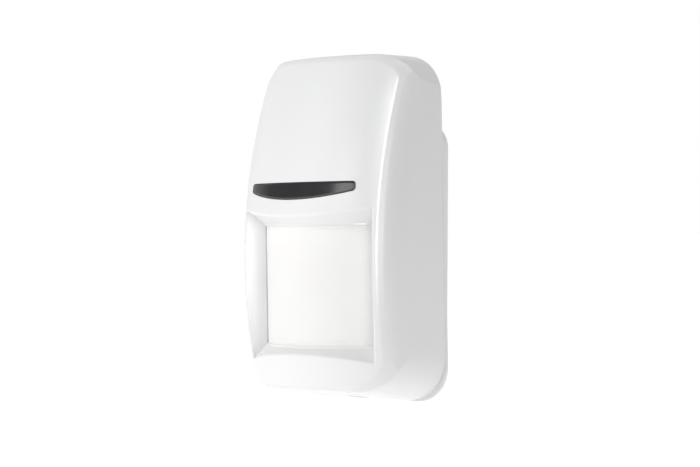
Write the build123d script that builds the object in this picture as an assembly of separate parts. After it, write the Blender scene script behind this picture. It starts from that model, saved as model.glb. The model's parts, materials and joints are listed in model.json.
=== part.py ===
from build123d import *
import math
import os

# A wall-mounted passive infrared motion sensor. Millimetres. X is to the right as seen from
# the room, Z is up, the wall is the plane Y = 0 and the sensor faces -Y.

# Driving dimensions of the housing.
WIDTH = 66.4
HEIGHT = 117.0
BASE_DEPTH = 5.0
WALL = 2.2
TOP_CORNER = 14.0
BOTTOM_CORNER = 16.0
SIDE_DRAFT = 2.7
TOP_DRAFT = 1.0
BOTTOM_DRAFT = 10.0
HALF_WIDTH = WIDTH / 2
TOP = HEIGHT / 2
BOTTOM = -HEIGHT / 2
RIM_Y = -BASE_DEPTH
LOFT_DEPTH = 46.0

# The bowed front: an arc in plan, carried along a larger arc in side view.
CREASE_X = 28.4
CREASE_DEPTH = 31.2
BULGE = 10.3
SIDE_RADIUS = 152.0
APEX_Z = -13.0
PLAN_RADIUS = CREASE_X**2 / (2 * BULGE) + BULGE / 2
SIDE_AXIS_Y = RIM_Y - CREASE_DEPTH + SIDE_RADIUS
FRONT_APEX_Y = RIM_Y - CREASE_DEPTH - BULGE

# The slanting shoulder between the front and the side walls.
SHOULDER_OUT = 6.0
SHOULDER_UP = 7.5
SHOULDER_DOWN = 8.2
CREASE_TOP = 56.5
CREASE_BOTTOM = -52.2
CREASE_TOP_CORNER = 10.0
CREASE_BOTTOM_CORNER = 12.0
SHOULDER_ON_FRONT = 8.56
SHOULDER_ON_WALL = 3.1
CREASE_FILLET = 2.5
SHOULDER_FILLET = 2.0

# The shoulder rolls over into each side wall along an arc in plan.
ROLL_X = 29.6
ROLL_DEPTH = 12.14
ROLL_RADIUS = 18.6
ROLL_FROM = 59.0
ROLL_TO = 84.0
ROLL_LEAD = 75.0

# The lens is part of a cylinder about a vertical axis.
LENS_AXIS_Y = RIM_Y - 7.7
LENS_RADIUS = 29.0
LENS_THICKNESS = 0.6
LENS_HALF_WIDTH = 22.6
LENS_TOP = 1.7
LENS_BOTTOM = -37.9
LENS_LAP = 1.2

# The recess that the lens looks out of.
LEDGE = 0.5
SILL = 0.6
BROW_SLOPE = 0.8
LIP_SLOPE = 1.05
RAIL = 1.1
RECESS_SOFTNESS = 1.1
RAIL_SOFTNESS = 0.3

# The smile-shaped indicator window.
SMILE_HALF_WIDTH = 22.1
SMILE_TOP = 16.1
SMILE_END = 13.0
SMILE_LOW = 10.3
SMILE_CORNER = 1.35
WINDOW_GAP = 0.08

# The circuit board and what stands on it.
BOARD_BACK_Y = -7.0
BOARD_THICKNESS = 1.6
BOARD_Y = BOARD_BACK_Y - BOARD_THICKNESS
BOARD_HALF_WIDTH = 25.5
BOARD_TOP = 43.0
BOARD_BOTTOM = -36.5
BOARD_SCREWS = [(-22.0, -33.0), (22.0, -33.0), (-22.5, 2.0), (22.5, 2.0)]
PYRO_Z = -17.0
PYRO_RADIUS = 4.6

# The tamper switch, worked by a post inside the cover.
TAMPER_X = -19.0
TAMPER_Z = 12.0
TAMPER_TIP_Y = -15.2
TAMPER_TOP_Y = -13.4
COLLAR_Y = -11.0

# Terminals, jumpers, trimmer and status lamps.
TERMINALS = 8
TERMINAL_PITCH = 5.0
TERMINAL_BOTTOM = 33.5
TERMINAL_TOP = 42.0
TERMINAL_FRONT_Y = -18.6
TERMINAL_SCREW_Z = 37.0
JUMPERS = 3
JUMPER_PITCH = 2.54
JUMPER_X = 22.0
JUMPER_Z = 9.0
TRIMMER_X = 14.0
TRIMMER_Z = 12.0
LAMP_SPACING = 6.0
LAMP_Z = 13.2
GUIDE_BACK_Y = -37.5
GUIDE_BRACKET_X = 9.0

# The snap hinge at the top of the base.
HINGE_Y = -7.4
HINGE_Z = 54.4
HINGE_PIN = 1.22
HINGE_BORE = 1.28
HINGE_X = 16.0

# Screws and cable way.
COVER_SCREW_Y = -10.0
COVER_SCREW_TRAVEL = 3.0
SCREW_SEAT_Z = -51.5
SCREW_SEAT_THICKNESS = 1.5
LUG_BOTTOM = -49.6
LUG_TOP = -46.0
WALL_SCREW_Z = [47.2, -41.0]
WALL_SCREW_RADIUS = 2.1
WALL_SCREW_BOSS = 3.9
UPPER_FLOOR_HALF_WIDTH = 28.0
UPPER_FLOOR_LOW = 20.0
UPPER_FLOOR_HIGH = 51.4
TRAY_RIM = 4.4
TRAY_SILL = 5.0
SPIGOT_GAP = 0.3
SPIGOT_WALL = 1.4
SPIGOT_FRONT_Y = -8.4
SPIGOT_TOP = 26.0
SPIGOT_NOTCH = 7.0
EAR_LOW = 45.0
KNUCKLE_RADIUS = 1.6
SCREW_HEAD_RADIUS = 2.3
SCREW_HEAD_HEIGHT = 1.3
LED_RADIUS = 1.5
LED_STRAIGHT = 2.0
CABLE_X = -9.5
CABLE_Z = 46.6
CABLE_RADIUS = 3.4
FLANGE_Y = -3.7
FLOOR_Y = -1.6
UPPER_FLOOR_Y = -3.2
PLINTH_TOP = 36.0
PLINTH_HALF_WIDTH_TOP = 32.3
PLINTH_HALF_WIDTH_BOTTOM = 29.9
PLINTH_CORNER = 9.0
KNOCKOUTS = [(-20.0, 22.0), (20.0, 22.0), (-20.0, -26.0), (20.0, -26.0), (0.0, 22.0)]
KNOCKOUT_RADIUS = 3.4
CABLE_SLOT_X = 13.0
CABLE_SLOT_HALF_WIDTH = 4.0
CABLE_SLOT_LOW = -6.0
CABLE_SLOT_HIGH = 8.0
GROOVE_WIDTH = 0.7
GROOVE_DEPTH = 0.6


def box(x, y, z):
    """A block from three (low, high) pairs."""
    size = [high - low for low, high in (x, y, z)]
    middle = [(high + low) / 2 for low, high in (x, y, z)]
    return Pos(*middle) * Box(*size)


def rod(radius, start, end):
    """A round bar between two points."""
    axis = Vector(*end) - Vector(*start)
    plane = Plane(origin=start, z_dir=axis)
    return extrude(plane * Circle(radius), amount=axis.length)


def wall_plane(y):
    """The drawing plane at depth y, seen from the room: its x is X and its y is Z."""
    return Plane(origin=(0, y, 0), x_dir=(1, 0, 0), z_dir=(0, -1, 0))


def rounded(half_width, bottom, top, bottom_corner, top_corner, y):
    """An upright rectangle with rounded corners at depth y."""
    with BuildSketch(wall_plane(y)) as sketch:
        with BuildLine():
            FilletPolyline(
                (-half_width, bottom),
                (half_width, bottom),
                (half_width, top),
                (-half_width, top),
                close=True,
                radius=[bottom_corner, bottom_corner, top_corner, top_corner],
            )
        make_face()
    return sketch.sketch


def slab(half_width, bottom, top, corner, back, front):
    """An upright rounded plate from depth back to depth front."""
    return extrude(rounded(half_width, bottom, top, corner, corner, back), amount=back - front)


def walls(inset):
    """The drafted side walls, drawn in by inset."""
    narrowing = LOFT_DEPTH * math.tan(math.radians(SIDE_DRAFT))
    lowering = LOFT_DEPTH * math.tan(math.radians(TOP_DRAFT))
    raising = LOFT_DEPTH * math.tan(math.radians(BOTTOM_DRAFT))
    rear = rounded(
        HALF_WIDTH - inset,
        BOTTOM + inset,
        TOP - inset,
        BOTTOM_CORNER - inset,
        TOP_CORNER - inset,
        RIM_Y,
    )
    front = rounded(
        HALF_WIDTH - inset - narrowing,
        BOTTOM + inset + raising,
        TOP - inset - lowering,
        BOTTOM_CORNER - inset - narrowing,
        TOP_CORNER - inset - narrowing,
        RIM_Y - LOFT_DEPTH,
    )
    return loft([rear, front], ruled=True)


def bowed_front(inset):
    """Everything behind the bowed front surface, drawn in by inset."""
    reach = 37.0
    radius = PLAN_RADIUS - inset
    centre_y = FRONT_APEX_Y + PLAN_RADIUS
    edge_y = centre_y - math.sqrt(radius**2 - reach**2)
    nose = ThreePointArc(
        (-reach, edge_y, APEX_Z),
        (0, centre_y - radius, APEX_Z),
        (reach, edge_y, APEX_Z),
    )
    back = Polyline(
        (reach, edge_y, APEX_Z),
        (reach, SIDE_AXIS_Y, APEX_Z),
        (-reach, SIDE_AXIS_Y, APEX_Z),
        (-reach, edge_y, APEX_Z),
    )
    section = make_face([nose, *back.edges()])
    return revolve(section, axis=Axis((0, SIDE_AXIS_Y, APEX_Z), (1, 0, 0)), revolution_arc=360)


def shouldered(inset):
    """The bowed front with its slanting shoulder, drawn in by inset."""
    outline = rounded(
        CREASE_X + SHOULDER_OUT - inset,
        CREASE_BOTTOM - SHOULDER_DOWN + inset,
        CREASE_TOP + SHOULDER_UP - inset,
        CREASE_BOTTOM_CORNER + SHOULDER_DOWN - inset,
        CREASE_TOP_CORNER + SHOULDER_UP - inset,
        RIM_Y,
    )
    block = (extrude(outline, amount=LOFT_DEPTH) & bowed_front(inset)).solids()[0]
    front = largest_torus(block)
    return block.chamfer(SHOULDER_ON_FRONT, SHOULDER_ON_WALL, front.outer_wire().edges(), front)


def largest_torus(solid):
    """The bowed front face of a solid."""
    faces = [face for face in solid.faces() if face.geom_type == GeomType.TORUS]
    return max(faces, key=lambda face: face.area)


def is_side_wall(face):
    """Whether a face runs forward from the rear rim."""
    bounds = face.bounding_box()
    return bounds.max.Y > RIM_Y - 0.01 and bounds.min.Y < RIM_Y - 1.0


def outer_loop(body):
    """The edges where the side walls meet the shoulder: each is on one side wall only."""
    found = {}
    for face in filter(is_side_wall, body.faces()):
        for edge in face.edges():
            middle = edge.position_at(0.5)
            place = (round(middle.X, 2), round(middle.Y, 2), round(middle.Z, 2))
            found.setdefault(place, []).append(edge)
    single = [edges[0] for edges in found.values() if len(edges) == 1]
    return [edge for edge in single if edge.position_at(0.5).Y < RIM_Y - 0.5]


def plan_point(x, depth, side):
    """A point at mid height, depth behind the front's apex, on the right (1) or left (-1)."""
    return (side * x, FRONT_APEX_Y + depth, APEX_Z)


def roll_point(angle):
    """A point on the roll's arc where its surface faces angle degrees off straight ahead."""
    start, turn = math.radians(ROLL_FROM), math.radians(angle)
    x = ROLL_X + ROLL_RADIUS * (math.sin(turn) - math.sin(start))
    depth = ROLL_DEPTH + ROLL_RADIUS * (math.cos(start) - math.cos(turn))
    return (x, depth)


def beyond(point, angle, length):
    """A point further along a surface that faces angle degrees off straight ahead."""
    turn = math.radians(angle)
    return (point[0] + length * math.cos(turn), point[1] + length * math.sin(turn))


def rolled_sides():
    """Everything inside the two rolled shoulders, clear of the front surface."""
    start = roll_point(ROLL_FROM)
    middle = roll_point((ROLL_FROM + ROLL_TO) / 2)
    end = roll_point(ROLL_TO)
    lead = beyond(start, ROLL_LEAD, -15.0)
    far = beyond(end, ROLL_TO, 30.0)
    rear = (far[0], SIDE_AXIS_Y - FRONT_APEX_Y)
    edges = [Line(plan_point(*lead, -1), plan_point(*lead, 1))]
    edges.append(Line(plan_point(*rear, 1), plan_point(*rear, -1)))
    for side in (1, -1):
        edges.append(Line(plan_point(*lead, side), plan_point(*start, side)))
        corners = [plan_point(*point, side) for point in (start, middle, end)]
        edges.append(ThreePointArc(*corners))
        edges.append(Line(plan_point(*end, side), plan_point(*far, side)))
        edges.append(Line(plan_point(*far, side), plan_point(*rear, side)))
    section = make_face(edges)
    return revolve(section, axis=Axis((0, SIDE_AXIS_Y, APEX_Z), (1, 0, 0)), revolution_arc=360)


def housing_outside():
    """The outer shape of the closed housing, in front of the base."""
    block = shouldered(0)
    block = block.fillet(CREASE_FILLET, largest_torus(block).outer_wire().edges())
    body = (walls(0) & block).solids()[0]
    body = body.fillet(SHOULDER_FILLET, outer_loop(body))
    return (body & rolled_sides()).solids()[0]


def soften_recess(shell):
    """Rounds the recess's brow and lip, then its two upright edges."""
    for reach, radius in ((26.0, RECESS_SOFTNESS), (CREASE_X - 0.5, RAIL_SOFTNESS)):
        rim = []
        for edge in largest_torus(shell).edges():
            middle = edge.position_at(0.5)
            inside = abs(middle.X) < reach and LENS_BOTTOM - 8 < middle.Z < SMILE_LOW
            if inside and edge.length > 40.0:
                rim.append(edge)
        shell = shell.fillet(radius, rim)
    return shell


def recess(grow):
    """The hollow in front of the lens, swollen by grow."""
    floor = LENS_RADIUS + LEDGE - grow
    rim = 60.0
    brow_rise = LENS_TOP + SILL + grow * math.hypot(1, BROW_SLOPE)
    lip_drop = LENS_BOTTOM - SILL - grow * math.hypot(1, LIP_SLOPE)
    start = LENS_RADIUS + LEDGE
    profile = Polyline(
        (floor, LENS_AXIS_Y, lip_drop - LIP_SLOPE * (floor - start)),
        (rim, LENS_AXIS_Y, lip_drop - LIP_SLOPE * (rim - start)),
        (rim, LENS_AXIS_Y, brow_rise + BROW_SLOPE * (rim - start)),
        (floor, LENS_AXIS_Y, brow_rise + BROW_SLOPE * (floor - start)),
        (floor, LENS_AXIS_Y, lip_drop - LIP_SLOPE * (floor - start)),
    )
    ring = revolve(make_face(profile), axis=Axis((0, LENS_AXIS_Y, 0), (0, 0, 1)), revolution_arc=360)
    inner_x = LENS_HALF_WIDTH + SILL + grow
    inner_y = LENS_AXIS_Y - math.sqrt(floor**2 - inner_x**2)
    outer_x = CREASE_X - RAIL + grow
    outer_y = RIM_Y - CREASE_DEPTH - 0.5
    slope = (outer_x - inner_x) / (inner_y - outer_y)
    far_y = FRONT_APEX_Y - 10.0
    near_y = LENS_AXIS_Y
    far_x = inner_x + slope * (inner_y - far_y)
    wedge = make_face(
        Polyline(
            (-inner_x, near_y, LENS_BOTTOM - 30),
            (inner_x, near_y, LENS_BOTTOM - 30),
            (inner_x, inner_y, LENS_BOTTOM - 30),
            (far_x, far_y, LENS_BOTTOM - 30),
            (-far_x, far_y, LENS_BOTTOM - 30),
            (-inner_x, inner_y, LENS_BOTTOM - 30),
            (-inner_x, near_y, LENS_BOTTOM - 30),
        )
    )
    return ring & extrude(wedge, amount=80, dir=(0, 0, 1))


def lens_band(inner, outer, margin):
    """A curved block at the lens: between two radii and margin beyond the lens edges."""
    half_width = LENS_HALF_WIDTH + margin
    bottom = LENS_BOTTOM - margin
    height = LENS_TOP - LENS_BOTTOM + 2 * margin
    ring = Circle(outer) - Circle(inner)
    drum = extrude(Pos(0, LENS_AXIS_Y, bottom) * ring, amount=height)
    window = box((-half_width, half_width), (LENS_AXIS_Y - outer, LENS_AXIS_Y), (bottom, bottom + height))
    return drum & window


def smile(gap):
    """The indicator window's outline, larger by gap all round, as a long bar through the front."""
    side = SMILE_HALF_WIDTH + gap
    top = SMILE_TOP + gap
    end = SMILE_END - gap
    low = SMILE_LOW - gap
    with BuildSketch(wall_plane(-20)) as sketch:
        with BuildLine():
            Line((-side, top), (side, top))
            Line((side, top), (side, end))
            ThreePointArc((side, end), (0, low), (-side, end))
            Line((-side, end), (-side, top))
        make_face()
        fillet(sketch.vertices(), SMILE_CORNER)
    return extrude(sketch.sketch, amount=40)


def housing_shell():
    """The hollow front, open at the rear, with its recess, lens pocket and indicator slot."""
    outside = housing_outside()
    cavity = walls(WALL) & shouldered(WALL) & box((-40, 40), (-60, RIM_Y + 1), (-60, 60))
    cavity = cavity + slab(HALF_WIDTH - WALL, BOTTOM + WALL, TOP - WALL, TOP_CORNER - WALL, RIM_Y + 1, RIM_Y)
    cavity = cavity - recess(WALL)
    shell = soften_recess((outside - recess(0)).solids()[0]) - cavity
    shell = shell - lens_band(26.0, LENS_RADIUS + 0.04, LENS_LAP + 0.2)
    shell = shell - lens_band(26.0, LENS_RADIUS + LEDGE + 1.0, 0.0)
    shell = shell - smile(0)
    return shell


def indicator_window():
    skin = bowed_front(0.06) - bowed_front(WALL - 0.1)
    return (smile(-WINDOW_GAP) & skin & box((-30, 30), (-60, -20), (0, 30))).solids()[0]


def fresnel_lens():
    return lens_band(LENS_RADIUS - LENS_THICKNESS, LENS_RADIUS, LENS_LAP)


def lens_retainer():
    """The frame that presses the lens sheet against its ledge from behind."""
    outer = LENS_RADIUS - LENS_THICKNESS - 0.05
    frame = lens_band(outer - 1.4, outer, LENS_LAP)
    return frame - lens_band(outer - 3.0, outer + 1.0, -1.2)


def hinge_sockets():
    """The two snap rings inside the top of the cover."""
    rings = []
    for side in (-1, 1):
        start = (side * HINGE_X - 1.8, HINGE_Y, HINGE_Z)
        end = (side * HINGE_X + 1.8, HINGE_Y, HINGE_Z)
        bracket = box((start[0], end[0]), (HINGE_Y - 2.3, HINGE_Y + 1.0), (HINGE_Z + 0.5, TOP - WALL + 0.3))
        rings.append(rod(2.3, start, end) + bracket)
    return rings


def hinge_bores():
    bores = []
    for side in (-1, 1):
        start = (side * HINGE_X - 3, HINGE_Y, HINGE_Z)
        end = (side * HINGE_X + 3, HINGE_Y, HINGE_Z)
        snap = box((start[0], end[0]), (HINGE_Y - 1.0, HINGE_Y + 1.0), (HINGE_Z - 4, HINGE_Z))
        bores.append(rod(HINGE_BORE, start, end) + snap)
    return bores


def guide_brackets():
    """Two brackets inside the cover that hold the light guide's bar from behind."""
    brackets = []
    for side in (-1, 1):
        reach = sorted((side * (GUIDE_BRACKET_X - 0.8), side * (GUIDE_BRACKET_X + 0.8)))
        back = box(reach, (GUIDE_BACK_Y + 0.2, GUIDE_BACK_Y + 1.3), (SMILE_LOW - 1.9, SMILE_TOP + 1.9))
        upper = box(reach, (-46.0, GUIDE_BACK_Y + 1.3), (SMILE_TOP + 0.8, SMILE_TOP + 1.9))
        lower = box(reach, (-46.0, GUIDE_BACK_Y + 1.3), (SMILE_LOW - 1.9, SMILE_LOW - 0.8))
        brackets.append((back + upper + lower) & bowed_front(1.0))
    return brackets


def build_cover():
    """The front cover with its hinge rings, screw boss, light guide brackets and tamper post."""
    cover = housing_shell()
    for bracket in guide_brackets():
        cover = cover + bracket
    for ring in hinge_sockets():
        cover = cover + ring
    for bore in hinge_bores():
        cover = cover - bore
    boss_top = SCREW_SEAT_Z + SCREW_SEAT_THICKNESS
    boss = rod(4.6, (0, COVER_SCREW_Y, BOTTOM + 1.5), (0, COVER_SCREW_Y, boss_top))
    cover = cover + boss
    cover = cover - rod(3.0, (0, COVER_SCREW_Y, BOTTOM - 1), (0, COVER_SCREW_Y, SCREW_SEAT_Z))
    cover = cover - rod(1.45, (0, COVER_SCREW_Y, BOTTOM - 1), (0, COVER_SCREW_Y, boss_top + 1))
    post = box(
        (TAMPER_X - 1.5, TAMPER_X + 1.5),
        (-37.0, TAMPER_TIP_Y - 0.05),
        (TAMPER_Z - 0.8, TAMPER_Z + 0.8),
    )
    return cover + (post & walls(1.0) & bowed_front(1.0))


def cover_screw():
    """A captive screw, stored backed off from the base lug by its travel."""
    head_top = SCREW_SEAT_Z - COVER_SCREW_TRAVEL
    tip = LUG_BOTTOM - 0.4
    head = rod(2.7, (0, COVER_SCREW_Y, head_top - 1.8), (0, COVER_SCREW_Y, head_top))
    shank = rod(1.2, (0, COVER_SCREW_Y, head_top), (0, COVER_SCREW_Y, tip))
    slot_x = box((-2.2, 2.2), (COVER_SCREW_Y - 0.35, COVER_SCREW_Y + 0.35), (head_top - 1.9, head_top - 0.9))
    slot_y = box((-0.35, 0.35), (COVER_SCREW_Y - 2.2, COVER_SCREW_Y + 2.2), (head_top - 1.9, head_top - 0.9))
    return head + shank - slot_x - slot_y


def plinth_block():
    """The part of the base that stands against the wall, narrower towards the bottom."""
    bottom = BOTTOM + 1.2
    with BuildSketch(wall_plane(0)) as sketch:
        with BuildLine():
            FilletPolyline(
                (-PLINTH_HALF_WIDTH_BOTTOM, bottom),
                (PLINTH_HALF_WIDTH_BOTTOM, bottom),
                (PLINTH_HALF_WIDTH_TOP, PLINTH_TOP),
                (-PLINTH_HALF_WIDTH_TOP, PLINTH_TOP),
                close=True,
                radius=PLINTH_CORNER,
            )
        make_face()
    return extrude(sketch.sketch, amount=BASE_DEPTH - 0.1)


def knockout_grooves():
    """Thin rings and slots in the back, where a mounting hole or cable way can be opened."""
    grooves = []
    inner = KNOCKOUT_RADIUS - GROOVE_WIDTH
    for x, z in KNOCKOUTS:
        ring = rod(KNOCKOUT_RADIUS, (x, 1, z), (x, -GROOVE_DEPTH, z))
        grooves.append(ring - rod(inner, (x, 2, z), (x, -1, z)))
    for middle in (-CABLE_SLOT_X, CABLE_SLOT_X):
        low, high = middle - CABLE_SLOT_HALF_WIDTH, middle + CABLE_SLOT_HALF_WIDTH
        frame = box((low, high), (-GROOVE_DEPTH, 1), (CABLE_SLOT_LOW, CABLE_SLOT_HIGH))
        upright = (CABLE_SLOT_LOW + GROOVE_WIDTH, CABLE_SLOT_HIGH - GROOVE_WIDTH)
        core = box((low + GROOVE_WIDTH, high - GROOVE_WIDTH), (-1, 2), upright)
        grooves.append(frame - core)
    return grooves


def spigot():
    """The upstand on the base that fits inside the cover's rim, open where the cover screw sits."""
    inner = WALL + SPIGOT_GAP + SPIGOT_WALL
    ring = walls(WALL + SPIGOT_GAP) - walls(inner)
    ring = ring & box((-40, 40), (SPIGOT_FRONT_Y, RIM_Y + 0.2), (-60, SPIGOT_TOP))
    ring = ring - box((-SPIGOT_NOTCH, SPIGOT_NOTCH), (SPIGOT_FRONT_Y - 1, 0), (-60, -50))
    return ring + slab(HALF_WIDTH - 2.6, BOTTOM + 2.6, SPIGOT_TOP, 10.0, RIM_Y + 0.2, RIM_Y)


def rear_base():
    """The wall-side tray: flange, plinth, upper floor, spigot, posts, hinge ears and screw lug."""
    flange = slab(HALF_WIDTH, BOTTOM, 33.0, 12.0, FLANGE_Y, RIM_Y + 0.1)
    plinth = plinth_block()
    upper_floor = slab(UPPER_FLOOR_HALF_WIDTH, UPPER_FLOOR_LOW, UPPER_FLOOR_HIGH, 4.0, UPPER_FLOOR_Y, RIM_Y)
    tray = flange + plinth + upper_floor
    tray = tray + spigot()
    tray = tray - slab(HALF_WIDTH - TRAY_RIM, BOTTOM + TRAY_SILL, PLINTH_TOP - 2.0, 7.0, FLOOR_Y, RIM_Y - 1)
    for x, z in BOARD_SCREWS:
        tray = tray + rod(2.6, (x, FLOOR_Y + 0.5, z), (x, BOARD_BACK_Y, z))
        tray = tray - rod(1.25, (x, FLOOR_Y - 0.5, z), (x, BOARD_BACK_Y - 1, z))
    lug = box((-4.5, 4.5), (COVER_SCREW_Y - 3.5, FLOOR_Y + 0.5), (LUG_BOTTOM, LUG_TOP))
    tray = tray + lug
    tray = tray - rod(1.25, (0, COVER_SCREW_Y, LUG_BOTTOM - 1), (0, COVER_SCREW_Y, LUG_TOP + 1))
    tray = tray + rod(WALL_SCREW_BOSS, (0, 0, WALL_SCREW_Z[0]), (0, RIM_Y, WALL_SCREW_Z[0]))
    for groove in knockout_grooves():
        tray = tray - groove
    for z in WALL_SCREW_Z:
        tray = tray - rod(WALL_SCREW_RADIUS, (0, 1, z), (0, RIM_Y - 1, z))
    tray = tray - rod(CABLE_RADIUS, (CABLE_X, 1, CABLE_Z), (CABLE_X, RIM_Y - 1, CABLE_Z))
    for side in (-1, 1):
        tray = tray + hinge_ear(side)
    return tray


def hinge_ear(side):
    """An ear on the base with the pin that the cover's snap ring turns on."""
    low, high = sorted((side * (HINGE_X + 2.2), side * (HINGE_X + 4.0)))
    foot = box((low, high), (HINGE_Y - KNUCKLE_RADIUS, RIM_Y + 0.5), (EAR_LOW, EAR_LOW + 3.5))
    arm = box((low, high), (HINGE_Y - KNUCKLE_RADIUS, HINGE_Y + 1.0), (EAR_LOW, HINGE_Z))
    knuckle = rod(KNUCKLE_RADIUS, (low, HINGE_Y, HINGE_Z), (high, HINGE_Y, HINGE_Z))
    tip, root = side * (HINGE_X - 2.2), side * (HINGE_X + 3.0)
    pin = rod(HINGE_PIN, (tip, HINGE_Y, HINGE_Z), (root, HINGE_Y, HINGE_Z))
    return foot + arm + knuckle + pin


def cable_bung():
    """A blank rubber bung in the cable entry."""
    plug = rod(CABLE_RADIUS - 0.05, (CABLE_X, UPPER_FLOOR_Y, CABLE_Z), (CABLE_X, RIM_Y, CABLE_Z))
    front = rod(CABLE_RADIUS + 0.9, (CABLE_X, RIM_Y, CABLE_Z), (CABLE_X, RIM_Y - 0.9, CABLE_Z))
    rear = rod(CABLE_RADIUS + 0.7, (CABLE_X, UPPER_FLOOR_Y, CABLE_Z), (CABLE_X, UPPER_FLOOR_Y + 0.7, CABLE_Z))
    nipple = rod(1.6, (CABLE_X, RIM_Y - 0.9, CABLE_Z), (CABLE_X, RIM_Y - 1.5, CABLE_Z))
    return plug + front + rear + nipple


def circuit_board():
    board = slab(BOARD_HALF_WIDTH, BOARD_BOTTOM, BOARD_TOP, 1.5, BOARD_BACK_Y, BOARD_Y)
    for x, z in BOARD_SCREWS:
        board = board - rod(1.35, (x, BOARD_BACK_Y + 1, z), (x, BOARD_Y - 1, z))
    return board


def board_screws():
    screws = []
    for x, z in BOARD_SCREWS:
        head = rod(SCREW_HEAD_RADIUS, (x, BOARD_Y, z), (x, BOARD_Y - SCREW_HEAD_HEIGHT, z))
        shank = rod(1.2, (x, BOARD_Y, z), (x, BOARD_Y + 5.6, z))
        depth = (BOARD_Y - SCREW_HEAD_HEIGHT - 0.1, BOARD_Y - SCREW_HEAD_HEIGHT + 0.7)
        cross = box((x - 1.4, x + 1.4), depth, (z - 0.25, z + 0.25))
        cross = cross + box((x - 0.25, x + 0.25), depth, (z - 1.4, z + 1.4))
        screws.append(head + shank - cross)
    return Compound(children=screws)


def pyro_can():
    can = rod(PYRO_RADIUS, (0, BOARD_Y, PYRO_Z), (0, LENS_AXIS_Y, PYRO_Z))
    can = can + rod(PYRO_RADIUS + 0.4, (0, BOARD_Y, PYRO_Z), (0, BOARD_Y - 0.6, PYRO_Z))
    return can - box((-2.6, 2.6), (LENS_AXIS_Y - 1, LENS_AXIS_Y + 0.4), (PYRO_Z - 2.1, PYRO_Z + 2.1))


def pyro_window():
    return box((-2.55, 2.55), (LENS_AXIS_Y + 0.05, LENS_AXIS_Y + 0.4), (PYRO_Z - 2.05, PYRO_Z + 2.05))


def pyro_gasket():
    """The foam ring that keeps draughts and insects off the sensor."""
    outer = rod(PYRO_RADIUS + 2.6, (0, BOARD_Y, PYRO_Z), (0, BOARD_Y - 2.2, PYRO_Z))
    return outer - rod(PYRO_RADIUS + 0.45, (0, BOARD_Y + 1, PYRO_Z), (0, BOARD_Y - 4, PYRO_Z))


def lamp_xs():
    return [LAMP_SPACING * step for step in (-1, 0, 1)]


def status_leds():
    leds = []
    for x in lamp_xs():
        body = rod(LED_RADIUS, (x, BOARD_Y, LAMP_Z), (x, BOARD_Y - LED_STRAIGHT, LAMP_Z))
        leds.append(body + Pos(x, BOARD_Y - LED_STRAIGHT, LAMP_Z) * Sphere(LED_RADIUS))
    return Compound(children=leds)


def light_guide():
    """Three clear prongs from the lamps to one bar behind the indicator window."""
    bar = box((-10, 10), (-45, GUIDE_BACK_Y), (LAMP_Z - 1.5, LAMP_Z + 1.5)) & bowed_front(WALL + 0.15)
    for x in lamp_xs():
        bar = bar + rod(1.3, (x, -12.6, LAMP_Z), (x, GUIDE_BACK_Y - 0.5, LAMP_Z))
    return bar


def terminal_xs():
    first = -TERMINAL_PITCH * (TERMINALS - 1) / 2
    return [first + TERMINAL_PITCH * step for step in range(TERMINALS)]


def terminal_block():
    half = TERMINAL_PITCH * TERMINALS / 2 + 0.6
    body = box((-half, half), (TERMINAL_FRONT_Y, BOARD_Y), (TERMINAL_BOTTOM, TERMINAL_TOP))
    step = (TERMINAL_SCREW_Z + 2.6, TERMINAL_TOP + 1)
    body = body - box((-half - 1, half + 1), (TERMINAL_FRONT_Y - 1, -14.6), step)
    for x in terminal_xs():
        body = body - rod(2.0, (x, TERMINAL_FRONT_Y - 1, TERMINAL_SCREW_Z), (x, -13.9, TERMINAL_SCREW_Z))
        body = body - box((x - 2.0, x + 2.0), (-14.0, -9.6), (TERMINAL_SCREW_Z - 1.9, TERMINAL_TOP + 1))
    return body


def terminal_screw(x):
    head = rod(1.85, (x, TERMINAL_FRONT_Y + 0.6, TERMINAL_SCREW_Z), (x, -16.6, TERMINAL_SCREW_Z))
    shank = rod(1.2, (x, -16.7, TERMINAL_SCREW_Z), (x, -12.0, TERMINAL_SCREW_Z))
    depth = (TERMINAL_FRONT_Y, TERMINAL_FRONT_Y + 1.4)
    slot = box((x - 2, x + 2), depth, (TERMINAL_SCREW_Z - 0.3, TERMINAL_SCREW_Z + 0.3))
    return head + shank - slot


def terminal_clamps():
    """The threaded clamp block under each terminal screw."""
    clamps = []
    for x in terminal_xs():
        block = box((x - 1.8, x + 1.8), (-13.6, -11.4), (TERMINAL_SCREW_Z - 1.7, TERMINAL_SCREW_Z + 3.0))
        clamps.append(block - rod(1.25, (x, -15, TERMINAL_SCREW_Z), (x, -9, TERMINAL_SCREW_Z)))
    return Compound(children=clamps)


def tamper_body():
    body = box((TAMPER_X - 3.0, TAMPER_X + 3.0), (TAMPER_TOP_Y, BOARD_Y), (TAMPER_Z - 3.0, TAMPER_Z + 3.0))
    body = body - rod(1.9, (TAMPER_X, -9.2, TAMPER_Z), (TAMPER_X, -12.8, TAMPER_Z))
    return body - rod(1.05, (TAMPER_X, -12, TAMPER_Z), (TAMPER_X, -14, TAMPER_Z))


def tamper_plunger():
    stem = rod(1.0, (TAMPER_X, COLLAR_Y, TAMPER_Z), (TAMPER_X, TAMPER_TIP_Y, TAMPER_Z))
    return stem + rod(1.7, (TAMPER_X, COLLAR_Y, TAMPER_Z), (TAMPER_X, COLLAR_Y - 0.7, TAMPER_Z))


def tamper_spring():
    """A small coil spring between the switch floor and the plunger's collar."""
    length = abs(COLLAR_Y + 9.2) - 0.5
    plane = Plane(origin=(TAMPER_X, -9.45, TAMPER_Z), x_dir=(1, 0, 0), z_dir=(0, -1, 0))
    path = plane * Helix(pitch=length / 3, height=length, radius=1.2)
    start = Plane(origin=path @ 0, z_dir=path % 0)
    return sweep(start * Circle(0.16), path=path)


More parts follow.
